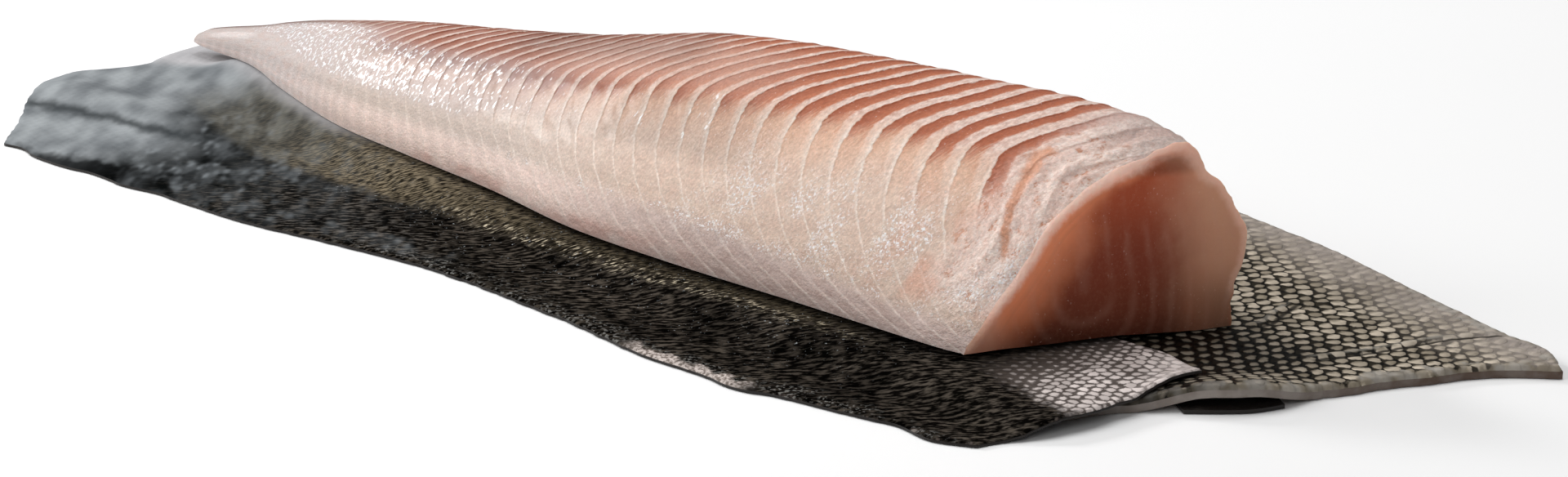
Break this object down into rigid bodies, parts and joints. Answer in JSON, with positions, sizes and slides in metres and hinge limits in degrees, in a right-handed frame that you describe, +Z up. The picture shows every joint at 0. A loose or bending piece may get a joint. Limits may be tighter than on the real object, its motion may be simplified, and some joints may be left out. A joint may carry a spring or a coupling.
{
  "type": "raw black cod fillet",
  "caption": "Skinned raw fish loin with ridged flakes and a slanted knife cut at the thick end, lying on overlapping strips of its own scaly skin.",
  "frame": {"origin": "middle of the footprint, on the surface that the skins lie on", "axes": "+X along the loin from the tail tip towards the knife cut, +Y from the belly edge towards the back edge, +Z up"},
  "size_m": [0.5038, 0.2378, 0.0606],
  "materials": {
    "flesh": "wet, slightly translucent raw flesh",
    "dark_skin": "wet dark fish skin",
    "grey_skin": "damp grey fish skin with small scales"
  },
  "bodies": {
    "root": {"fillet": "flesh", "skin_near": "dark_skin", "skin_far": "grey_skin", "skin_scrap": "dark_skin"}
  },
  "joints": []
}
